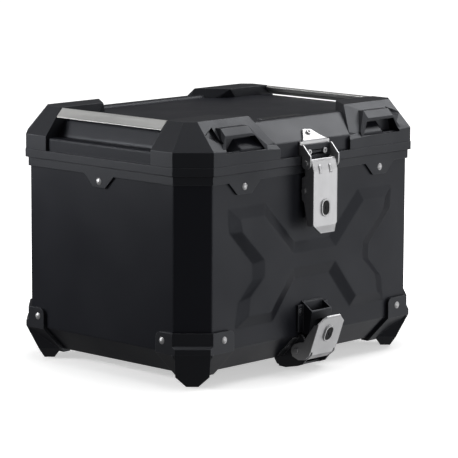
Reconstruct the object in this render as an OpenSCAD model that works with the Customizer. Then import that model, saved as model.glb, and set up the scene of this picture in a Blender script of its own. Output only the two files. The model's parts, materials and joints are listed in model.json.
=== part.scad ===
/* [Case] */
// Width of the case sheet, left to right
case_w = 399; // [380:1:420]
// Depth of the case sheet, front to back
case_d = 299; // [285:1:310]
// Height of the case sheet above the floor
case_h = 228; // [222:1:229]
// Leg of the chamfer down each upright corner
corner_leg = 31; // [26:1:36]
// Height and run of the bevel round the floor
bevel = 30; // [24:1:34]
// Thickness of the sheet
wall = 2; // [1.5:0.1:2.5]
// Height of the raised cross on the front
emboss_h = 4.5; // [2:0.5:6]
// Depth of the feet below the floor
foot_h = 12.5; // [8:0.5:16]

/* [Rim frame] */
// Width over the rim frame
frame_w = 404; // [403:1:408]
// Depth over the rim frame
frame_d = 304; // [303:1:308]
// Height of the frame's band
frame_band = 9.8; // [8:0.1:12]
// Top of the frame above the floor
frame_top = 231.7; // [231:0.1:232]

/* [Lid] */
// Width over the lid rim
lid_rim_w = 410; // [408:1:414]
// Depth over the lid rim
lid_rim_d = 310; // [308:1:314]
// Height of the lid rim's band
lid_band = 9.5; // [8:0.5:12]
// Height where the lid's slopes begin
lid_shoulder = 259; // [256:1:262]
// Height of the lid's top
lid_top = 283.4; // [280:0.1:286]
// Height of the caps' tops
cap_top = 291.5; // [290:0.5:294]

/* [Latches] */
// Width of the upper lever
lever_w = 41.4; // [38:0.1:43]
// Width of the lower lever's face
low_lever_w = 45; // [43:0.5:46]
// How far the lower lever stands open
low_tilt = 20; // [15:1:22]

/* [Hinges] */
// Distance of each hinge from the middle
hinge_x = 105; // [90:1:120]
// Length of each hinge
hinge_len = 64; // [50:1:80]

/* [Hidden] */
$fn = 48;
eps = 0.02;

// colours
sheet_col = "#2c2d31";
plastic_col = "#232427";
steel_col = "#c9cbcd";
rivet_col = "#b9bbbd";
rubber_col = "#151516";
dark_steel_col = "#4a4846";

// case
hx = case_w / 2;
hy = case_d / 2;
floor_leg = 14;
edge_gap = 0.1;
frame_hx = frame_w / 2;
frame_hy = frame_d / 2;
frame_leg = corner_leg + 1;
frame_in = 9;
frame_base = frame_top - frame_band;
tab_drop = 14.5;

// rivets: head radius, head height, shank radius
riv_head = 4.2;
riv_h = 1.7;
riv_r = 1.6;
riv_hole = 1.65;
tab_x = 118;
rear_tab_x = 40;
front_tab_z = 216;
side_tab_z = 214.7;

// corner protectors
prot_t = 4;
prot_top = 53;
prot_x = 136;
prot_y = 94;
prot_round = 7;
prot_ridge = 3;
prot_lap = 8;
ridge_z = 32;
pad_in = 14;
pad_half = 7;
pad_deep = 12;
prot_riv_x = 152;
prot_riv_y = 104;
prot_riv_z = 43;

// lid
seam = 0.8;
lid_base = frame_top + seam;
lid_rim_top = lid_base + lid_band;
lid_hx = 201;
lid_hy = 150.5;
lid_leg = 31.5;
lid_wall_top = 257;
lid_slope_y = 26.3;
lid_in_x = 183;
lid_top_x = 172;
lid_recess = 3;
lid_recess_y = 110;
cap_hx = 204.5;
cap_hy = 154.5;
cap_leg = 33;
cap_arm_x = 61;
cap_arm_top = 253.8;
cap_arm_y = 87;
cap_slope_x = 178;
cap_slope_y = 124;
cap_point = 11;
slot_low = [-151, -86];
slot_high = [-146, -98];
slot_z0 = 256;
slot_z1 = 272.6;
slot_back = 139;
bar_end = 100;

// upper latch: pivot of the lever and of the claw, [y, z]
piv = [-161.8, 234.3];
claw_piv = [-155, 201];
pin_r = 2;
bore_r = 2.06;
ear_out = 25.4;
ear_t = 2;
lock_z = 181;
face_y = -170;
sheet_t = 2;

// lower latch
low_piv = [-147, 10.5];
low_lock = 31.2;
cheek_in = 18.6;
cheek_out = 20.4;
curl_half = 18.3;
flange_in = 20.8;
low_face = 20;

// hinges
hinge_y = 160;
hinge_z = frame_top + seam / 2;
knuckle_r = 4.5;
leaf_t = 2;

// carrier fixing
hole_r = 3.3;
hole_dx = 220;
hole_dy = 120;
hook_x = 70;

// ---------- shared shapes ----------
// an octagon: a rectangle with its four corners cut
module oct(ax, ay, leg) {
    polygon([[ax, ay - leg], [ax - leg, ay], [leg - ax, ay], [-ax, ay - leg],
             [-ax, leg - ay], [leg - ax, -ay], [ax - leg, -ay], [ax, leg - ay]]);
}
module slab(ax, ay, leg, z0, z1) {
    translate([0, 0, z0]) linear_extrude(z1 - z0) oct(ax, ay, leg);
}
// the outside of the case, grown by g on every face
module case_form(g, top) {
    slope_g = g * 0.414;
    hull() {
        slab(hx + g, hy + g, corner_leg + g * 0.58, bevel - slope_g, top);
        slab(hx - bevel + slope_g, hy - bevel + slope_g, floor_leg + g * 0.58, -g, -g + eps);
    }
}
// a profile in Y and Z, extruded along X from x0 to x1
module along_x(x0, x1) {
    translate([x0, 0, 0]) rotate([90, 0, 90]) linear_extrude(x1 - x0) children();
}
// the same shape on both sides of the middle
module both_sides() {
    children();
    mirror([1, 0, 0]) children();
}
// a pin or hole along X
module pin_x(r, x0, x1, at) {
    translate([x0, at[0], at[1]]) rotate([0, 90, 0]) cylinder(r = r, h = x1 - x0);
}
// one rivet standing out along +Z, its head on the plane z = 0
module rivet(grip) {
    translate([0, 0, -grip]) cylinder(r = riv_r, h = grip + eps, $fn = 24);
    intersection() {
        cylinder(r = riv_head, h = riv_h, $fn = 32);
        translate([0, 0, riv_h - 6.2]) sphere(r = 6.2, $fn = 48);
    }
}
module hole(depth) {
    translate([0, 0, -depth]) cylinder(r = riv_hole, h = depth + 2, $fn = 24);
}
// turns +Z to point out of the front, rear, left or right face
module face_front(x, z, y) { translate([x, -y, z]) rotate([90, 0, 0]) children(); }
module face_rear(x, z, y) { translate([x, y, z]) rotate([-90, 0, 0]) children(); }
module face_side(s, y, z, x) { translate([s * x, y, z]) rotate([0, s * 90, 0]) children(); }

// the places of the rivets that hold the rim frame
module at_frame_rivets() {
    for (s = [-1, 1]) {
        face_front(s * tab_x, front_tab_z, frame_hy) children();
        face_rear(s * rear_tab_x, front_tab_z, frame_hy) children();
        face_side(s, 0, side_tab_z, frame_hx) children();
    }
}
// the places of the rivets that hold the corner protectors
module at_protector_rivets() {
    for (s = [-1, 1]) {
        for (t = [-1, 1]) face_side(s, t * prot_riv_y, prot_riv_z, hx + prot_t) children();
        face_front(s * prot_riv_x, prot_riv_z, hy + prot_t) children();
        face_rear(s * prot_riv_x, prot_riv_z, hy + prot_t) children();
    }
}
module at_catch_rivets() {
    for (s = [-1, 1]) face_front(s * 9, 176, hy + 2.1) children();
}
module at_low_rivets() {
    for (s = [-1, 1]) face_front(s * 22.3, 58, hy + 3.1) children();
}
module at_hinge_base_rivets() {
    for (s = [-1, 1]) for (t = [-20, 20]) face_rear(s * hinge_x + t, 200, hy + 2.1) children();
}
module at_hinge_leaf_rivets() {
    for (s = [-1, 1]) for (t = [-20, 20])
        face_rear(s * hinge_x + t, 251, lid_rim_d / 2 + leaf_t + edge_gap) children();
}
module at_hook_rivets() {
    for (s = [-1, 1]) for (t = [-12, 12])
        translate([s * hook_x + t, 96, -2]) rotate([180, 0, 0]) children();
}
module floor_holes(depth) {
    for (s = [-1, 1]) for (t = [-1, 1])
        translate([s * hole_dx / 2, t * hole_dy / 2, -1]) cylinder(r = hole_r, h = depth);
}

// ---------- case ----------
// raised cross: base outline and plateau outline, left half then mirrored
cross_base_half = [[-143, 192], [-81, 193], [-30, 142]];
cross_side_half = [[-30, 98], [-68, 52], [-131, 52], [-126, 82], [-102, 106], [-102, 124],
                   [-141, 164]];
cross_top_half = [[-127, 179], [-87, 179], [-37, 129]];
cross_top_side = [[-37, 112], [-75, 65], [-113, 65], [-109, 87], [-86, 108], [-86, 128],
                  [-123, 164]];
function flip(p) = [for (i = [len(p) - 1 : -1 : 0]) [-p[i][0], p[i][1]]];
cross_base = concat(cross_base_half, flip(cross_base_half), flip(cross_side_half), cross_side_half);
cross_plateau = concat(cross_top_half, flip(cross_top_half), flip(cross_top_side), cross_top_side);
// the outline's corners, grouped into the middle and its four arms
cross_pieces = [[0, 1, 2, 18, 19], [3, 4, 5, 6, 7], [2, 3, 7, 8, 12, 13, 17, 18],
                [8, 9, 10, 11, 12], [13, 14, 15, 16, 17]];
module cross_emboss(back) {
    n = len(cross_base);
    pts = concat([for (p = cross_base) [p[0], back, p[1]]],
                 [for (p = cross_base) [p[0], 0, p[1]]],
                 [for (p = cross_plateau) [p[0], -emboss_h, p[1]]]);
    faces = concat([for (p = cross_pieces) [for (i = [len(p) - 1 : -1 : 0]) p[i]]],
                   [for (k = [0, 1], i = [0 : n - 1])
                       [k * n + i, k * n + (i + 1) % n, (k + 1) * n + (i + 1) % n]],
                   [for (k = [0, 1], i = [0 : n - 1])
                       [k * n + i, (k + 1) * n + (i + 1) % n, (k + 1) * n + i]],
                   [for (p = cross_pieces) [for (i = p) 2 * n + i]]);
    translate([0, -hy, 0]) polyhedron(pts, faces, convexity = 6);
}
module case_shell() {
    color(sheet_col) difference() {
        union() {
            case_form(0, case_h);
            cross_emboss(wall);
        }
        difference() {
            case_form(-wall, case_h + 1);
            translate([-hx, -hy, case_h + 2]) cube([case_w, case_d, 4]);
        }
        translate([0, wall + eps, 0]) cross_emboss(wall * 2);
        floor_holes(wall + 2);
        at_frame_rivets() hole(8);
        at_protector_rivets() hole(8);
        at_catch_rivets() hole(8);
        at_low_rivets() hole(8);
        at_hinge_base_rivets() hole(8);
        at_hook_rivets() hole(6);
    }
}
module floor_plate() {
    color("#8d9094") difference() {
        translate([0, 0, wall + eps]) linear_extrude(2) oct(135, 88, 16);
        floor_holes(wall + 6);
    }
}
// one tab hanging from the frame: a tapered tongue, in X and Z
module tab(top_half, low_half) {
    polygon([[-top_half, frame_base + eps], [top_half, frame_base + eps],
             [low_half, frame_base - tab_drop], [-low_half, frame_base - tab_drop]]);
}
module rim_frame() {
    tab_t = frame_hy - hy - edge_gap;
    color(plastic_col) difference() {
        union() {
            difference() {
                slab(frame_hx, frame_hy, frame_leg, frame_base, frame_top);
                slab(frame_hx - frame_in, frame_hy - frame_in, frame_leg - frame_in * 0.58,
                     frame_base - 1, frame_top + 1);
            }
            for (s = [-1, 1]) {
                translate([s * tab_x, -hy - edge_gap, 0]) rotate([90, 0, 0])
                    linear_extrude(tab_t) tab(26, 12);
                translate([s * rear_tab_x, hy + edge_gap + tab_t, 0]) rotate([90, 0, 0])
                    linear_extrude(tab_t) tab(26, 12);
                translate([s * (hx + edge_gap + (s < 0 ? tab_t : 0)), 0, 0])
                    rotate([90, 0, 90]) linear_extrude(tab_t) tab(24, 10);
            }
        }
        difference() {
            slab(hx + edge_gap, hy + edge_gap, corner_leg, frame_base - 1, case_h + edge_gap);
            slab(hx - wall - edge_gap, hy - wall - edge_gap, corner_leg - wall * 0.58,
                 frame_base - 2, case_h + 1);
        }
        at_frame_rivets() hole(4);
    }
}
module frame_rivets() {
    color(rivet_col) at_frame_rivets() rivet(frame_hy - hy + wall);
}
// an arm's outline from x = 0 inwards to x = w, its far upper corner rounded
module arm_outline(w) {
    polygon(concat([[0, -prot_t - 1], [w, -prot_t - 1], [w, prot_top - prot_round]],
                   [for (a = [15 : 15 : 75]) [w - prot_round * (1 - cos(a)),
                                              prot_top - prot_round * (1 - sin(a))]],
                   [[w - prot_round, prot_top], [0, prot_top]]));
}
// a block across the cut corner: its face u out from the cut, v to either side, deep inwards
module across_corner(u, v, deep, z0, z1) {
    translate([-hx + corner_leg / 2, -hy + corner_leg / 2, z0]) rotate([0, 0, 225])
        linear_extrude(z1 - z0) translate([u - deep, -v]) square([deep, 2 * v]);
}
// the protector of the front left corner, moved to the others by mirroring
module protector() {
    out = 12;
    arm_deep = corner_leg + prot_lap + out;
    band_half = (corner_leg + prot_t * 0.58) / sqrt(2);
    ridge_half = band_half - prot_ridge;
    color(plastic_col) difference() {
        union() {
            intersection() {
                case_form(prot_t, prot_top);
                union() {
                    translate([-hx - out, -hy - out + arm_deep, 0]) rotate([90, 0, 0])
                        linear_extrude(arm_deep) arm_outline(hx + out - prot_x);
                    translate([-hx - out, -hy - out, 0]) rotate([90, 0, 90])
                        linear_extrude(arm_deep) arm_outline(hy + out - prot_y);
                }
            }
            // the ridge round the cut corner
            hull() {
                across_corner(prot_t, band_half, 10, ridge_z - 6, ridge_z + 6);
                across_corner(prot_t + prot_ridge, ridge_half, 10, ridge_z - 3, ridge_z + 3);
            }
            // the foot that runs down and in from it, to the pad
            hull() {
                across_corner(prot_t + prot_ridge, ridge_half, 24, ridge_z - 3, ridge_z);
                across_corner(-8, band_half - 4, 26, -eps, 0);
                across_corner(-pad_in, pad_half, pad_deep, -foot_h, -foot_h + eps);
            }
        }
        case_form(edge_gap / 2, prot_top + 2);
        at_protector_rivets() hole(6);
    }
}
module corner_protector_fl() { protector(); }
module corner_protector_fr() { mirror([1, 0, 0]) protector(); }
module corner_protector_rl() { mirror([0, 1, 0]) protector(); }
module corner_protector_rr() { mirror([1, 0, 0]) mirror([0, 1, 0]) protector(); }
module protector_rivets() {
    color(rivet_col) at_protector_rivets() rivet(prot_t + wall);
}
module carrier_hook(s) {
    color(steel_col) difference() {
        translate([s * hook_x, 0, 0]) along_x(-18, 18)
            polygon([[86, -0.05], [112, -0.05], [112, -7], [124, -7], [124, -9], [110, -9],
                     [110, -2], [86, -2]]);
        at_hook_rivets() hole(6);
    }
}
module carrier_hook_left() { carrier_hook(-1); }
module carrier_hook_right() { carrier_hook(1); }
module hook_rivets() {
    color(rivet_col) at_hook_rivets() rivet(2 + wall);
}
// ---------- upper catch on the case ----------
module catch_plate() {
    color(plastic_col) difference() {
        along_x(-14, 14)
            polygon([[-hy - 0.05, 168], [-hy - 2.1, 168], [-hy - 2.1, 190], [-153.4, 192],
                     [-153.4, 196], [-hy - 2.1, 199], [-hy - 2.1, 206], [-hy - 0.05, 206]]);
        at_catch_rivets() hole(4);
    }
}
module catch_rivets() {
    color(rivet_col) at_catch_rivets() rivet(2.1 + wall);
}
// ---------- lower latch ----------
module lower_housing() {
    color(plastic_col) difference() {
        union() {
            translate([-26, -hy - 3.1, 34]) cube([52, 3.05, 32]);
            along_x(-17.4, 17.4)
                polygon([[-hy - 3, 30], [-163, 33], [-164, 40], [-166.6, 59.5], [-hy - 0.05, 70.5],
                         [-hy - 0.05, 34]]);
        }
        // the open pocket
        along_x(-15.4, 15.4)
            polygon([[-152.5, 52], [-163.2, 50], [-165.2, 64], [-152.5, 72]]);
        // the room for the lock when the lever is shut
        along_x(-15.4, 15.4)
            polygon([[-153.2, 28], [-170, 28], [-170, 49], [-153.2, 49]]);
        at_low_rivets() hole(4);
    }
}
cheek = [[-149.7, 30.6], [-154, 30.2], [-161, 20], [-163, 10.5], [-161, 2], [-155, -5], [-146.6, -8],
         [-128, -foot_h + 0.4], [-114, -9.5], [-110, -4], [-110, -0.2], [-119.7, -0.2],
         [-149.7, 29.8]];
module lower_bracket() {
    web_y = -146.4;
    color(dark_steel_col) difference() {
        union() {
            both_sides() along_x(cheek_in, cheek_out) polygon(cheek);
            along_x(-cheek_out, cheek_out)
                polygon([[web_y, -5.4], [web_y - 0.6, -7.4], [-128, -foot_h + 0.4],
                         [-117, -foot_h + 0.8], [-117, -foot_h + 2.8], [-128, -foot_h + 2.4]]);
            // flanges that lie on the bevel
            both_sides() along_x(cheek_in, 32)
                polygon([[-148, 28.3], [-124, 4.3], [-125.3, 2.9], [-149.3, 26.9]]);
        }
        pin_x(bore_r, -30, 30, low_piv);
        both_sides() translate([27.5, -136.7, 15.6]) rotate([135, 0, 0]) hole(6);
    }
}
module lower_pivot_pin() {
    color(steel_col) {
        pin_x(pin_r, -23, 23, low_piv);
        both_sides() pin_x(3.6, 22.6, 24.4, low_piv);
    }
}
module lower_latch_rivets() {
    color(rivet_col) {
        at_low_rivets() rivet(3.1 + wall);
        both_sides() translate([27.5, -137.6, 14.7]) rotate([135, 0, 0]) rivet(1.9);
    }
}
// the lower lever in its own frame: pivot at the origin, shut, its face towards -Y
module low_face_plate() {
    along_x(-low_lever_w / 2, low_lever_w / 2)
        polygon([[-low_face, 8], [-low_face, 51], [-low_face - 1.5, 54.5], [-low_face + 0.3, 55.3],
                 [-low_face + sheet_t, 51.5], [-low_face + sheet_t, 8]]);
}
module lower_lever_shape() {
    difference() {
        union() {
            intersection() {
                low_face_plate();
                rotate([90, 0, 0]) translate([0, 0, 10]) linear_extrude(30)
                    polygon([[-curl_half, 7], [-low_lever_w / 2, 10], [-low_lever_w / 2, 45],
                             [-10, 56], [10, 56], [low_lever_w / 2, 45], [low_lever_w / 2, 10],
                             [curl_half, 7]]);
            }
            // the lower end curls in between the cheeks
            along_x(-curl_half, curl_half)
                polygon([[-low_face, 8.2], [-low_face, 4], [-15, -4.5], [-7, -8.4], [-6, -7],
                         [-13.6, -3.2], [-low_face + sheet_t, 4.8], [-low_face + sheet_t, 8.2]]);
            both_sides() along_x(flange_in, low_lever_w / 2)
                polygon([[-low_face + 1, 44], [-14, 41], [-9, 27], [-6, 15], [0.5, 11], [7.5, 5],
                         [8.6, 0], [7.8, -4.6], [3.5, -9], [-6.4, -9], [-14.6, -4.6],
                         [-low_face + 0.2, 4], [-low_face + 0.2, 11]]);
        }
        pin_x(bore_r, -30, 30, [0, 0]);
        translate([0, 0, low_lock]) rotate([90, 0, 0]) cylinder(r = 5.6, h = 40);
    }
    // raised ring round the lock
    translate([0, -low_face, low_lock]) rotate([90, 0, 0]) lock_ring();
}
module lock_ring() {
    translate([0, 0, -eps]) linear_extrude(1.5) difference() {
        oval(7.4, 10.4);
        oval(5.6, 8.6);
    }
}
// an oval: two round ends of radius r, half height h
module oval(r, h) {
    square([2 * r, 2 * (h - r)], center = true);
    for (s = [-1, 1]) translate([0, s * (h - r)]) circle(r);
}
module place_low() {
    translate([0, low_piv[0], low_piv[1]]) rotate([low_tilt, 0, 0]) children();
}
module lower_lever() { color(steel_col) place_low() lower_lever_shape(); }
// a lock body: oval face and a barrel behind it, standing along +Z
module lock_body(depth) {
    difference() {
        union() {
            translate([0, 0, 0.05]) linear_extrude(1) oval(5.5, 8.5);
            translate([0, 0, -depth]) cylinder(r = 5.5, h = depth + 0.1);
        }
        translate([0, 0, -depth - 1]) cylinder(r = 3.66, h = depth + 3);
    }
}
// the turning plug: key slot in front, cam behind
module lock_plug(depth) {
    difference() {
        translate([0, 0, -depth - 1.6]) cylinder(r = 3.6, h = depth + 2.5);
        translate([-0.6, -2.4, -4]) cube([1.2, 4.8, 6]);
    }
    translate([-2.5, -9, -depth - 1.8]) cube([5, 11, 1.5]);
}
module lower_lock_body() {
    color(rubber_col) place_low() translate([0, -low_face, low_lock]) rotate([90, 0, 0])
        lock_body(9);
}
module lower_lock_plug() {
    color("#3a3b3d") place_low() translate([0, -low_face, low_lock]) rotate([90, 0, 0])
        lock_plug(9);
}
// ---------- hinges ----------
module hinge_base(s) {
    x0 = s * hinge_x - hinge_len / 2;
    at = [hinge_y, hinge_z];
    color(dark_steel_col) difference() {
        union() {
            along_x(x0, x0 + hinge_len)
                polygon([[hy + 0.1, 190], [hy + 2.1, 190], [hy + 2.1, 215.5], [156.6, 219],
                         [156.6, 226], [154.2, 226], [154.2, 220.6], [hy + 0.1, 217.6]]);
            for (k = [0, 2]) along_x(x0 + k * hinge_len / 3 + (k > 0 ? 0.3 : 0),
                                     x0 + (k + 1) * hinge_len / 3 - (k > 0 ? 0 : 0.3)) {
                translate(at) circle(knuckle_r);
                polygon([[154.2, 224], [156.6, 222], [164.3, 231], [155.5, 232]]);
            }
        }
        pin_x(bore_r, x0 - 1, x0 + hinge_len + 1, at);
        at_hinge_base_rivets() hole(4);
    }
}
module hinge_leaf(s) {
    x0 = s * hinge_x - hinge_len / 2;
    y0 = lid_rim_d / 2 + edge_gap;
    at = [hinge_y, hinge_z];
    color(dark_steel_col) difference() {
        union() {
            along_x(x0, x0 + hinge_len)
                polygon([[y0, 237.5], [y0 + leaf_t, 237.5], [y0 + leaf_t, 260], [y0, 260]]);
            along_x(x0 + hinge_len / 3 + 0.3, x0 + 2 * hinge_len / 3 - 0.3) {
                translate(at) circle(knuckle_r);
                polygon([[y0, 238], [y0 + leaf_t, 240], [164, 234], [157, 232]]);
            }
        }
        pin_x(bore_r, x0 - 1, x0 + hinge_len + 1, at);
        at_hinge_leaf_rivets() hole(4);
    }
}
module hinge_pin(s) {
    x0 = s * hinge_x - hinge_len / 2;
    color(steel_col) {
        pin_x(pin_r, x0 - 0.5, x0 + hinge_len + 0.5, [hinge_y, hinge_z]);
        pin_x(3.2, x0 - 2, x0 - 0.3, [hinge_y, hinge_z]);
        pin_x(3.2, x0 + hinge_len + 0.3, x0 + hinge_len + 2, [hinge_y, hinge_z]);
    }
}
module hinge_base_left() { hinge_base(-1); }
module hinge_base_right() { hinge_base(1); }
module hinge_pin_left() { hinge_pin(-1); }
module hinge_pin_right() { hinge_pin(1); }
module hinge_base_rivets() { color(rivet_col) at_hinge_base_rivets() rivet(2.1 + wall); }
module hinge_leaf_left() { hinge_leaf(-1); }
module hinge_leaf_right() { hinge_leaf(1); }
module hinge_leaf_rivets() {
    color(rivet_col) at_hinge_leaf_rivets() rivet(lid_rim_d / 2 - lid_hy + leaf_t + wall);
}
// ---------- lid ----------
module lid_form(g) {
    hull() {
        slab(lid_in_x + g, lid_hy + g, 60, lid_shoulder - 5, lid_shoulder + g * 0.4);
        slab(lid_top_x + g * 0.6, lid_hy - lid_slope_y + g * 0.4, 45, lid_top + g - eps,
             lid_top + g);
    }
    slab(lid_hx + g, lid_hy + g, lid_leg, lid_rim_top - 4, lid_wall_top + g);
}
// the shallow tray across the lid's top
module lid_tray(g) {
    z0 = lid_top - lid_recess + g;
    along_x(-lid_hx, lid_hx)
        polygon([[-lid_recess_y, z0], [lid_recess_y, z0], [lid_recess_y + 5, z0 + 4],
                 [-lid_recess_y - 5, z0 + 4]]);
}
module lid_outer() {
    difference() {
        lid_form(0);
        lid_tray(0);
    }
}
module lid_shell() {
    color(sheet_col) difference() {
        lid_outer();
        difference() {
            lid_form(-wall);
            lid_tray(-wall);
        }
        slab(lid_hx - wall, lid_hy - wall, lid_leg - wall * 0.58, lid_rim_top - 8, lid_rim_top + 2);
        at_hinge_leaf_rivets() hole(12);
        at_block_screws() hole(10);
        at_tongue_screw() hole(7);
    }
}
module lid_rim() {
    rx = lid_rim_w / 2;
    ry = lid_rim_d / 2;
    leg = corner_leg + 2;
    color(plastic_col) difference() {
        slab(rx, ry, leg, lid_base, lid_rim_top);
        slab(rx - 12, ry - 12, leg - 7, lid_base - 1, lid_rim_top + 1);
        slab(lid_hx + edge_gap, lid_hy + edge_gap, lid_leg, lid_rim_top - 4.2, lid_rim_top + 1);
        difference() {
            slab(rx - 4, ry - 4, leg - 2.3, lid_base - 1, lid_base + 3.6);
            slab(rx - 9, ry - 9, leg - 5.2, lid_base - 2, lid_base + 4);
        }
    }
}
module lid_seal() {
    rx = lid_rim_w / 2 - 4.1;
    ry = lid_rim_d / 2 - 4.1;
    leg = corner_leg - 0.4;
    color(rubber_col) difference() {
        slab(rx, ry, leg, frame_top + 0.3, lid_base + 3.5);
        slab(rx - 4.8, ry - 4.8, leg - 2.8, frame_top - 1, lid_base + 5);
    }
}
// the cap of the front left corner
module cap_outline(z0, z1) {
    translate([0, 0, z0]) linear_extrude(z1 - z0)
        polygon([[-cap_arm_x, -cap_hy], [cap_leg - cap_hx, -cap_hy], [-cap_hx, cap_leg - cap_hy],
                 [-cap_hx, -cap_arm_y], [-150, -cap_arm_y], [-cap_arm_x, -130]]);
}
module cap(hinged) {
    wall_top = 259.5;
    color(plastic_col) difference() {
        union() {
            hull() {
                cap_outline(lid_rim_top + 0.05, cap_arm_top);
                // the wall is highest round the corner and falls along the front
                translate([0, 0, cap_arm_top]) linear_extrude(wall_top - cap_arm_top)
                    polygon([[cap_leg - cap_hx, -cap_hy], [-cap_hx, cap_leg - cap_hy],
                             [-cap_hx, -cap_arm_y], [-150, -cap_arm_y]]);
                translate([0, 0, cap_top - eps]) linear_extrude(eps)
                    polygon([[-83, -cap_slope_y], [cap_point - cap_slope_x, -cap_slope_y],
                             [-cap_slope_x, cap_point - cap_slope_y], [-cap_slope_x, -cap_arm_y - 1],
                             [-110, -cap_arm_y - 1]]);
            }
            // the bar over the lashing recess stands proud of the slope
            hull() {
                along_x(slot_low[0] - 4, slot_low[1] + 4)
                    polygon([[-cap_hy, 254], [-152.4, 261], [-140, 261], [-140, 254]]);
                along_x(slot_high[0], slot_high[1] - 3)
                    polygon([[-147.6, 275.5], [-140, 283.5], [-132, 283.5]]);
            }
        }
        lid_outer();
        // the lashing recess
        hull() {
            along_x(slot_high[0], slot_high[1])
                polygon([[-170, slot_z1], [-slot_back, slot_z1], [-slot_back, slot_z0],
                         [-170, slot_z0]]);
            along_x(slot_low[0], slot_low[1])
                polygon([[-170, slot_z0], [-slot_back, slot_z0], [-170, slot_z0 + 1]]);
        }
        // a three-cornered hollow beside the bar, deepest at the bar's end
        hull() {
            along_x(-151.5, -151)
                polygon([[-151.4, 268.2], [-149.2, 265.4], [-137.4, 270.6], [-128.4, 281.6],
                         [-134.6, 287.6]]);
            translate([-168.5, -139.4, 276.2]) cube([0.4, 1.6, 1.6]);
        }
        // the rear caps are drilled for the hinges' rivets
        if (hinged) mirror([0, 1, 0]) at_hinge_leaf_rivets() hole(12);
        // the grip side drops steeply below the bar
        translate([-cap_hx - 5, -cap_arm_y, 200]) cube([60, 60, 200]);
    }
}
module lid_cap_fl() { cap(false); }
module lid_cap_fr() { mirror([1, 0, 0]) cap(false); }
module lid_cap_rl() { mirror([0, 1, 0]) cap(true); }
module lid_cap_rr() { mirror([1, 0, 0]) mirror([0, 1, 0]) cap(true); }
// a side bar: a slanted flat section with a rolled lower lip
module side_bar() {
    color(steel_col) translate([0, cap_arm_y - 0.1, 0]) rotate([90, 0, 0])
        linear_extrude(2 * cap_arm_y - 0.2)
        polygon([[-178, 291.2], [-186.6, 282], [-187.6, 280.6], [-185.4, 279.8], [-176, 284.6],
                 [-174.6, 289.6]]);
}
module side_bar_left() { side_bar(); }
module side_bar_right() { mirror([1, 0, 0]) side_bar(); }
module lid_badge() {
    color("#5b5d61") translate([-34, -101, lid_top - lid_recess + 0.05]) cube([68, 9, 1.2]);
}
// ---------- upper latch ----------
ear = [[-152.9, 255], [-157, 255], [-168.8, 242.6], [-168.8, 234.3]];
// the lid's front slope: +Y runs up it and +Z points out of it
module on_slope() {
    translate([0, -lid_hy, lid_shoulder])
        rotate([atan2(lid_top - lid_shoulder, lid_slope_y), 0, 0]) children();
}
// the places of the screws that hold the bracket to the lid
module at_tongue_screw() {
    on_slope() translate([-2.9, 10, 2.15]) children();
}
module at_block_screws() {
    for (s = [-1, 1]) face_front(s * 13.4, 246, 155.42) children();
}
module latch_bracket() {
    y0 = -lid_hy - 0.1;
    color(steel_col) difference() {
        union() {
            both_sides() along_x(ear_out - ear_t, ear_out) difference() {
                union() {
                    polygon(concat(ear, [[-155.7, 234.3], [-155.7, 242.6], [y0, 242.6],
                                         [y0, 255]]));
                    translate(piv) circle(7);
                }
                translate([-155.6, 220]) square([10, 22.4]);
            }
            along_x(-ear_out, ear_out)
                polygon([[y0, 242.6], [y0 - 2, 242.6], [y0 - 2, 258.6], [y0, 258.6]]);
            // the tongue that lies up the slope
            on_slope() translate([0, 0, 0.1]) linear_extrude(2)
                polygon([[-21, -1.2], [-19, 0.5], [-16, 4.2], [-7.7, 16], [4.7, 15], [12, 6],
                         [18, 0.5], [21, -1.2]]);
        }
        pin_x(bore_r - 0.05, -30, 30, piv);
        at_tongue_screw() hole(6);
        at_block_screws() hole(6);
    }
}
module latch_block() {
    color(plastic_col) difference() {
        translate([-23.2, -155.4, 242.7]) cube([46.4, 2.8, 12.2]);
        at_block_screws() hole(4);
    }
}
module screw_head() {
    difference() {
        cylinder(r = 3.4, h = 2);
        translate([0, 0, 0.8]) cylinder(r = 1.7, h = 3, $fn = 6);
    }
}
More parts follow.
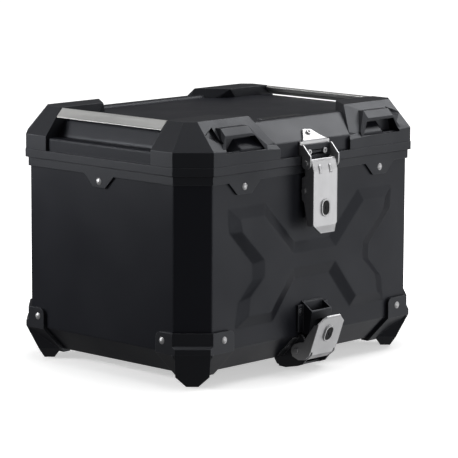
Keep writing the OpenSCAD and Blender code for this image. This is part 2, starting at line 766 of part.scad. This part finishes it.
// a screw with its head on the plane z = 0
module screw(grip) {
    screw_head();
    translate([0, 0, -grip]) cylinder(r = riv_r, h = grip + 0.1);
}
module latch_screws() {
    color(steel_col) {
        at_block_screws() screw(7.6);
        at_tongue_screw() screw(5);
    }
}
module latch_pivot_pin() {
    color(steel_col) {
        pin_x(pin_r, -ear_out - 0.2, ear_out + 0.2, piv);
        both_sides() pin_x(3.2, ear_out + 0.05, ear_out + 1.4, piv);
    }
}
module latch_lever() {
    in_x = lever_w / 2 - sheet_t;
    color(steel_col) difference() {
        union() {
            intersection() {
                along_x(-lever_w / 2, lever_w / 2)
                    polygon([[-165.6, 239], [-167, 236.5], [-168.6, 230], [face_y, 225], [face_y, 160],
                             [-174, 152.4], [-172.2, 151.6], [face_y + 2, 159.6],
                             [face_y + 2, 225], [-166.6, 230.4], [-165, 236], [-163.8, 237.8]]);
                rotate([90, 0, 0]) linear_extrude(200)
                    polygon([[-lever_w / 2, 240], [-lever_w / 2, 162], [-10.8, 151],
                             [10.8, 151], [lever_w / 2, 162], [lever_w / 2, 240]]);
            }
            both_sides() along_x(in_x, lever_w / 2)
                polygon([[-165, 237.6], [-159, 239.6], [-156.4, 236], [-156.2, 219],
                         [-151.4, 216], [-151.4, 191], [-155, 187], [-161, 160.5],
                         [face_y + 1, 160.5], [face_y + 1, 225], [-167, 232]]);
            // pressed ribs near the top
            both_sides() along_x(7, 11)
                polygon([[-169.2, 221], [-170.8, 222.6], [-170.8, 225.2], [-169.4, 230.6],
                         [-167.8, 232.6], [-168, 230], [-169.2, 225]]);
        }
        pin_x(bore_r, -30, 30, piv);
        pin_x(bore_r - 0.05, -30, 30, claw_piv);
        translate([0, -150, lock_z]) rotate([90, 0, 0]) cylinder(r = 5.6, h = 30);
    }
    color(steel_col) translate([0, face_y, lock_z]) rotate([90, 0, 0]) lock_ring();
}
module claw_pin() {
    color(steel_col) {
        pin_x(pin_r, -lever_w / 2 - 0.2, lever_w / 2 + 0.2, claw_piv);
        both_sides() pin_x(3, lever_w / 2 + 0.05, lever_w / 2 + 1.2, claw_piv);
    }
}
module latch_claw() {
    color(dark_steel_col) difference() {
        along_x(-13, 13) {
            translate(claw_piv) circle(3.4);
            polygon([[-158.4, 201], [-158.4, 184], [-152.9, 184], [-152.9, 187.4],
                     [-155.2, 188.2], [-155.2, 199], [-154, 200]]);
        }
        pin_x(bore_r, -30, 30, claw_piv);
        translate([-8, -160, 190]) cube([16, 10, 20]);
    }
}
module upper_lock_body() {
    color(rubber_col) translate([0, face_y, lock_z]) rotate([90, 0, 0]) lock_body(10);
}
module upper_lock_plug() {
    color("#3a3b3d") translate([0, face_y, lock_z]) rotate([90, 0, 0]) lock_plug(10);
}

case_shell();
floor_plate();
rim_frame();
frame_rivets();
corner_protector_fl();
corner_protector_fr();
corner_protector_rl();
corner_protector_rr();
protector_rivets();
carrier_hook_left();
carrier_hook_right();
hook_rivets();
catch_plate();
catch_rivets();
lower_housing();
lower_bracket();
lower_pivot_pin();
lower_latch_rivets();
hinge_base_left();
hinge_base_right();
hinge_pin_left();
hinge_pin_right();
hinge_base_rivets();
lid_shell();
lid_rim();
lid_seal();
lid_cap_fl();
lid_cap_fr();
lid_cap_rl();
lid_cap_rr();
side_bar_left();
side_bar_right();
lid_badge();
latch_bracket();
latch_block();
latch_screws();
latch_pivot_pin();
hinge_leaf_left();
hinge_leaf_right();
hinge_leaf_rivets();
latch_lever();
claw_pin();
upper_lock_body();
upper_lock_plug();
latch_claw();
lower_lever();
lower_lock_body();
lower_lock_plug();
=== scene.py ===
"""Looks of the top case: materials, soft edges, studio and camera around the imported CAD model."""
import json
import math

import bpy
from mathutils import Matrix, Vector


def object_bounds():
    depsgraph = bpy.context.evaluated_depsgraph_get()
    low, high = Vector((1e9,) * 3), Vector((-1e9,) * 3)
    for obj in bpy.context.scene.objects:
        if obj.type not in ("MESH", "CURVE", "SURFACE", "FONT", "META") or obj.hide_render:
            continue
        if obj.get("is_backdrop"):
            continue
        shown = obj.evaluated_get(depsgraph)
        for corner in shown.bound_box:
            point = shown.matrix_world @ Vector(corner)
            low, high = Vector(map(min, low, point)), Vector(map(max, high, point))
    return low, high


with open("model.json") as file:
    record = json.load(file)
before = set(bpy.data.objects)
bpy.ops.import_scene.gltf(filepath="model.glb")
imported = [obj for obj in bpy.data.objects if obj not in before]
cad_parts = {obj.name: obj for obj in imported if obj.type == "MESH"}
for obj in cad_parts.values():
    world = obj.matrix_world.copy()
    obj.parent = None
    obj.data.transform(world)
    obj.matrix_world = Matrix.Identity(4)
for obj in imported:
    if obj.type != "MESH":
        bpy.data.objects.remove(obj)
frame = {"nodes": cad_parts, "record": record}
cad_low, cad_high = (Vector(corner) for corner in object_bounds())
nodes = frame["nodes"]
MM = 0.001

# the stretch of 0 to 1 that a noise texture mostly fills
NOISE_LOW, NOISE_HIGH = 0.3, 0.7
# paler edges, partly wear and partly a painted highlight: their reach from an edge, and how far the
# rounded normal agrees with the true one
WEAR_AND_HIGHLIGHT_REACH = 0.6 * MM
WEAR_AND_HIGHLIGHT_STARTS, WEAR_AND_HIGHLIGHT_FULL = 0.995, 0.93
# rays per shading point for the paler edges (wear and painted highlight) and for the rounded edges
WEAR_AND_HIGHLIGHT_RAYS, EDGE_RAYS = 4, 8
# how finely a coat's sheen clouds, how strongly its grain shows, and its highlight's tint
CLOUD_SCALE = 14.0
COAT_RELIEF = 0.35
COAT_TINT = (0.88, 0.92, 1.0, 1)
# brushed metal: streaks are fine across the brushing and long along it
STREAKS_ACROSS, STREAKS_ALONG = 900.0, 16.0
PATCH_SCALE = 60.0
# softened edges: gap closed by the weld, steps per edge, smallest angle that is rounded
WELD_GAP = 0.002 * MM
EDGE_STEPS = 3
EDGE_ANGLE = math.radians(18)
# open rings, left as they are
PLAIN_RINGS = ("rim_frame", "lid_rim")
# stage, in metres: the floor glows evenly white beyond the outer distance
FLOOR_SIZE, DOME_RADIUS = 60, 24
GLOW_INNER, GLOW_OUTER = 0.15, 0.60
GLOW_NEAR, GLOW_FAR = 0.50, 1.0
SKY_STRENGTH = 0.13


# ---------- material helpers ----------
def new_material(name):
    """A material with a Principled shader, and the two things needed to wire it."""
    material = bpy.data.materials.new(name)
    material.use_nodes = True
    tree = material.node_tree
    return material, tree, tree.nodes["Principled BSDF"]


def object_coords(tree, scale=(1, 1, 1)):
    """Object coordinates, stretched, so that a pattern keeps its real size on every piece."""
    coords = tree.nodes.new("ShaderNodeTexCoord")
    mapping = tree.nodes.new("ShaderNodeMapping")
    mapping.inputs["Scale"].default_value = scale
    tree.links.new(coords.outputs["Object"], mapping.inputs["Vector"])
    return mapping.outputs["Vector"]


def noise(tree, vector, scale, detail=3.0, rough=0.5):
    texture = tree.nodes.new("ShaderNodeTexNoise")
    texture.inputs["Scale"].default_value = scale
    texture.inputs["Detail"].default_value = detail
    texture.inputs["Roughness"].default_value = rough
    tree.links.new(vector, texture.inputs["Vector"])
    return texture.outputs["Fac"]


def spread(tree, value, low, high):
    """A 0 to 1 value moved to the range low to high."""
    node = tree.nodes.new("ShaderNodeMapRange")
    node.inputs["From Min"].default_value = NOISE_LOW
    node.inputs["From Max"].default_value = NOISE_HIGH
    node.inputs["To Min"].default_value = low
    node.inputs["To Max"].default_value = high
    tree.links.new(value, node.inputs["Value"])
    return node.outputs["Result"]


def mix_colour(tree, value, first, second):
    node = tree.nodes.new("ShaderNodeMix")
    node.data_type = "RGBA"
    node.inputs["A"].default_value = (*first, 1)
    node.inputs["B"].default_value = (*second, 1)
    tree.links.new(value, node.inputs["Factor"])
    return node.outputs["Result"]


def rounded_normal(tree, radius, samples):
    """The surface's normal as if its edges had this radius."""
    node = tree.nodes.new("ShaderNodeBevel")
    node.samples = samples
    node.inputs["Radius"].default_value = radius
    return node.outputs["Normal"]


def edge_mask(tree):
    """Rises from 0 to 1 close to an edge, where a rounded normal leaves the true one."""
    geometry = tree.nodes.new("ShaderNodeNewGeometry")
    agreement = tree.nodes.new("ShaderNodeVectorMath")
    agreement.operation = "DOT_PRODUCT"
    tree.links.new(rounded_normal(tree, WEAR_AND_HIGHLIGHT_REACH, WEAR_AND_HIGHLIGHT_RAYS), agreement.inputs[0])
    tree.links.new(geometry.outputs["Normal"], agreement.inputs[1])
    node = tree.nodes.new("ShaderNodeMapRange")
    node.inputs["From Min"].default_value = WEAR_AND_HIGHLIGHT_STARTS
    node.inputs["From Max"].default_value = WEAR_AND_HIGHLIGHT_FULL
    tree.links.new(agreement.outputs["Value"], node.inputs["Value"])
    return node.outputs["Result"]


def relief(tree, shader, height, strength, distance, edge_radius):
    """Fine relief from height, over edges that shade as if rounded."""
    node = tree.nodes.new("ShaderNodeBump")
    node.inputs["Strength"].default_value = strength
    node.inputs["Distance"].default_value = distance
    tree.links.new(height, node.inputs["Height"])
    tree.links.new(rounded_normal(tree, edge_radius, EDGE_RAYS), node.inputs["Normal"])
    tree.links.new(node.outputs["Normal"], shader.inputs["Normal"])


def coated(name, base, edge, rough, grain_scale, grain_depth, specular, edge_radius):
    """A coat or moulded skin: fine grain, uneven sheen, paler along its edges, partly as wear and
    partly as a painted highlight.
    """
    material, tree, shader = new_material(name)
    vector = object_coords(tree)
    # paler colour along the edges: partly wear, partly a painted edge highlight
    worn_and_highlit = mix_colour(tree, edge_mask(tree), base, edge)
    tree.links.new(worn_and_highlit, shader.inputs["Base Color"])
    cloudy = noise(tree, vector, CLOUD_SCALE)
    tree.links.new(spread(tree, cloudy, *rough), shader.inputs["Roughness"])
    shader.inputs["Specular IOR Level"].default_value = specular
    shader.inputs["Specular Tint"].default_value = COAT_TINT
    grain = noise(tree, vector, grain_scale, 2.0, 0.6)
    relief(tree, shader, grain, COAT_RELIEF, grain_depth, edge_radius)
    return material


def brushed(name, dark, light, rough, along, edge_radius):
    """Metal brushed along one axis: fine streaks in colour, gloss and relief."""
    material, tree, shader = new_material(name)
    stretch = [STREAKS_ACROSS] * 3
    stretch["xyz".index(along)] = STREAKS_ALONG
    streaks = noise(tree, object_coords(tree, stretch), 1.0, 4.0, 0.65)
    patches = noise(tree, object_coords(tree), PATCH_SCALE)
    tree.links.new(mix_colour(tree, patches, dark, light), shader.inputs["Base Color"])
    tree.links.new(spread(tree, streaks, *rough), shader.inputs["Roughness"])
    shader.inputs["Metallic"].default_value = 1.0
    shader.inputs["Anisotropic"].default_value = 0.3
    relief(tree, shader, streaks, 0.16, 0.03 * MM, edge_radius)
    return material


def plain(name, base, rough, metallic=0.0, grain_scale=2500.0):
    """A small part's finish: nearly even, with a trace of grain."""
    material, tree, shader = new_material(name)
    grain = noise(tree, object_coords(tree), grain_scale)
    darker = [0.8 * channel for channel in base]
    tree.links.new(mix_colour(tree, grain, darker, base), shader.inputs["Base Color"])
    tree.links.new(spread(tree, grain, rough - 0.05, rough + 0.05), shader.inputs["Roughness"])
    shader.inputs["Metallic"].default_value = metallic
    relief(tree, shader, grain, 0.1, 0.02 * MM, 0.2 * MM)
    return material


# each coat's second colour is its paler edge: partly wear, partly a painted highlight
MATERIALS = {
    "sheet": coated("powder_coat", (0.0100, 0.0104, 0.0145), (0.036, 0.037, 0.044),
                    (0.36, 0.46), 2600.0, 0.05 * MM, 0.29, 4.0 * MM),
    "plastic": coated("moulded_plastic", (0.0100, 0.0102, 0.0130), (0.090, 0.092, 0.100),
                      (0.42, 0.54), 1500.0, 0.10 * MM, 0.46, 0.9 * MM),
    "steel": brushed("brushed_stainless", (0.54, 0.54, 0.55), (0.62, 0.62, 0.63),
                     (0.40, 0.50), "z", 1.4 * MM),
    "bar": brushed("brushed_bar", (0.55, 0.55, 0.54), (0.64, 0.64, 0.63),
                   (0.38, 0.48), "y", 0.6 * MM),
    "dark_steel": coated("coated_steel", (0.024, 0.024, 0.027), (0.30, 0.30, 0.31),
                         (0.34, 0.44), 2200.0, 0.03 * MM, 0.5, 0.5 * MM),
    "rivets": plain("rivet_metal", (0.62, 0.62, 0.63), 0.45, 0.8),
    "backing": plain("backing_metal", (0.42, 0.43, 0.44), 0.45, 1.0),
    "rubber": plain("seal_rubber", (0.014, 0.014, 0.015), 0.80),
    "lock_plastic": plain("lock_plastic", (0.004, 0.004, 0.0045), 0.72),
    "lock_steel": plain("lock_steel", (0.030, 0.030, 0.032), 0.45, 1.0),
    "badge": coated("badge_strip", (0.005, 0.005, 0.006), (0.22, 0.22, 0.23),
                    (0.26, 0.34), 2200.0, 0.01 * MM, 0.4, 0.3 * MM),
}
# width of the softened edges on each finish, in mm
EDGE_MM = {"plastic": 0.7, "steel": 0.35, "bar": 0.5, "dark_steel": 0.35,
           "badge": 0.25}


def soften(piece, width):
    """Rounds the edges with modifiers; width is in mm, and the CAD mesh stays as it is."""
    weld = piece.modifiers.new("weld", "WELD")
    weld.merge_threshold = WELD_GAP
    edges = piece.modifiers.new("edges", "BEVEL")
    edges.width = width * MM
    edges.segments = EDGE_STEPS
    edges.limit_method = "ANGLE"
    edges.angle_limit = EDGE_ANGLE
    edges.use_clamp_overlap = True
    edges.miter_outer = "MITER_ARC"
    normals = piece.modifiers.new("normals", "WEIGHTED_NORMAL")
    normals.keep_sharp = True


def dress_nodes():
    """Gives every CAD node its finish, from the slot that the record names for it."""
    for entry in frame["record"]["subparts"]:
        piece, slot = nodes[entry["node"]], entry["material_slot"]
        piece.data.materials.clear()
        piece.data.materials.append(MATERIALS[slot])
        if slot in EDGE_MM and piece.name not in PLAIN_RINGS:
            soften(piece, EDGE_MM[slot])


# ---------- studio ----------
def stage_sheet(sheet, name, material):
    """Makes a sheet part of the stage: it neither lights the object nor shades it."""
    sheet.name = name
    sheet.data.materials.append(material)
    sheet.visible_glossy = False
    sheet.visible_diffuse = False
    sheet.visible_shadow = False
    sheet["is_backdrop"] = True


def make_floor():
    """A pale floor: lit by the lamps near the object, and evenly white further out."""
    material, tree, shader = new_material("studio_floor")
    vector = object_coords(tree)
    shade = mix_colour(tree, noise(tree, vector, 3.0), (0.86, 0.86, 0.86), (0.88, 0.88, 0.88))
    tree.links.new(shade, shader.inputs["Base Color"])
    shader.inputs["Roughness"].default_value = 0.9
    shader.inputs["Specular IOR Level"].default_value = 0.1
    shader.inputs["Emission Color"].default_value = (1, 1, 1, 1)
    distance = tree.nodes.new("ShaderNodeVectorMath")
    distance.operation = "LENGTH"
    tree.links.new(vector, distance.inputs[0])
    glow = tree.nodes.new("ShaderNodeMapRange")
    glow.interpolation_type = "SMOOTHSTEP"
    glow.inputs["From Min"].default_value = GLOW_INNER
    glow.inputs["From Max"].default_value = GLOW_OUTER
    glow.inputs["To Min"].default_value = GLOW_NEAR
    glow.inputs["To Max"].default_value = GLOW_FAR
    tree.links.new(distance.outputs["Value"], glow.inputs["Value"])
    tree.links.new(glow.outputs["Result"], shader.inputs["Emission Strength"])
    bpy.ops.mesh.primitive_plane_add(size=FLOOR_SIZE, location=(0, 0, cad_low.z))
    stage_sheet(bpy.context.object, "studio_floor", material)


def make_backdrop():
    """A white dome round the stage, for views that look past the floor."""
    material, tree, shader = new_material("studio_backdrop")
    clouds = noise(tree, object_coords(tree), 0.2)
    shade = mix_colour(tree, clouds, (1, 1, 1), (0.98, 0.98, 0.98))
    tree.links.new(shade, shader.inputs["Emission Color"])
    shader.inputs["Emission Strength"].default_value = 1.0
    shader.inputs["Base Color"].default_value = (0, 0, 0, 1)
    bpy.ops.mesh.primitive_uv_sphere_add(segments=48, ring_count=24, radius=DOME_RADIUS)
    stage_sheet(bpy.context.object, "studio_backdrop", material)


def softbox(name, place, aim, size, power):
    lamp = bpy.data.lights.new(name, "AREA")
    lamp.shape = "RECTANGLE"
    lamp.size, lamp.size_y = size
    lamp.energy = power
    box = bpy.data.objects.new(name, lamp)
    bpy.context.scene.collection.objects.link(box)
    box.location = place
    direction = Vector(aim) - Vector(place)
    box.rotation_euler = direction.to_track_quat("-Z", "Y").to_euler()


def make_lights():
    middle = (0, 0, 0.15)
    softbox("front_right", (2.0, -1.9, 0.1), middle, (2.0, 2.4), 19)
    softbox("front", (0.25, -2.3, 0.1), middle, (0.6, 1.8), 9)
    softbox("low_right", (1.5, -0.5, -1.15), middle, (1.4, 1.2), 5)
    softbox("right_above", (1.7, -0.35, 1.8), middle, (1.2, 1.2), 25)
    softbox("back_above", (-0.4, 1.3, 1.6), middle, (1.6, 0.8), 2.2)
    softbox("left", (-0.78, 0.52, 0.42), (-0.2, 0, 0.2), (0.35, 0.3), 4.2)
    softbox("overhead", (0.1, -0.1, 2.4), middle, (1.6, 1.6), 18)
    world = bpy.data.worlds.new("studio")
    bpy.context.scene.world = world
    world.use_nodes = True
    sky = world.node_tree.nodes["Background"]
    sky.inputs["Color"].default_value = (1, 1, 1, 1)
    sky.inputs["Strength"].default_value = SKY_STRENGTH


def make_camera():
    """A long lens seen from the left front, a little above the lid."""
    azimuth, elevation, roll = (math.radians(a) for a in (-46.49, 9.14, 0.26))
    distance, lens = 3.2675, 212.2
    back = Vector((math.sin(azimuth) * math.cos(elevation),
                   -math.cos(azimuth) * math.cos(elevation), math.sin(elevation)))
    right = (-back).cross(Vector((0, 0, 1))).normalized()
    up = right.cross(-back)
    aim_height, aim_right = 0.1364, 0.0112
    target = Vector((0, 0, aim_height)) + right * aim_right
    turned = (right * math.cos(roll) + up * math.sin(roll),
              up * math.cos(roll) - right * math.sin(roll), back)
    camera = bpy.data.objects.new("camera", bpy.data.cameras.new("camera"))
    camera.data.lens = lens
    camera.data.sensor_width = 36
    camera.matrix_world = (Matrix.Translation(target + back * distance)
                           @ Matrix(turned).transposed().to_4x4())
    bpy.context.scene.collection.objects.link(camera)
    bpy.context.scene.camera = camera


make_camera()
dress_nodes()
make_floor()
make_backdrop()
make_lights()
bpy.context.scene.view_settings.view_transform = "Standard"
